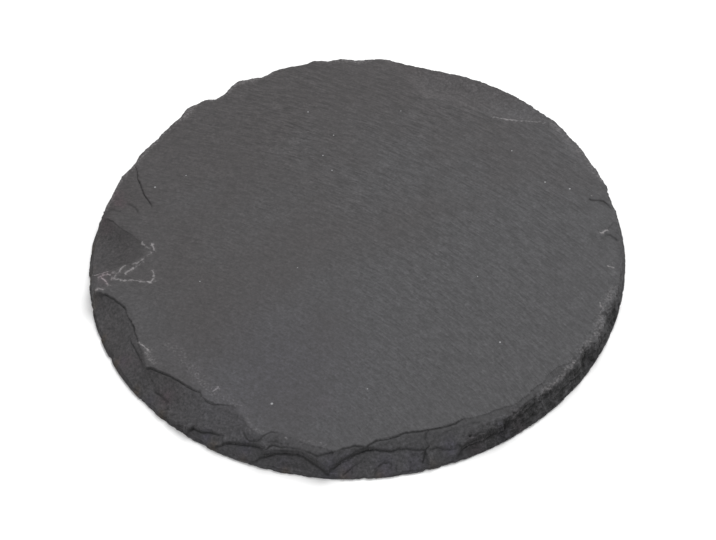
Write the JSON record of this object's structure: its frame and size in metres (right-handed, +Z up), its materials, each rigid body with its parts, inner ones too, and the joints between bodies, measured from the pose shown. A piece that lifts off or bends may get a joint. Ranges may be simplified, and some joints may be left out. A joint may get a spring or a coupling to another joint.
{
  "type": "round slate slab",
  "caption": "Round slab of natural slate with a split top face, a chipped bevel round the rim and a flat underside.",
  "frame": {"origin": "centre of the flat underside", "axes": "+Z up, square to the split top face; -Y towards the side with the deep chips and the pointed layer; +X to the right as seen from there"},
  "size_m": [0.1, 0.1, 0.005],
  "materials": {
    "slate": "matt split slate"
  },
  "bodies": {
    "root": {"slate_slab": "slate"}
  },
  "joints": []
}
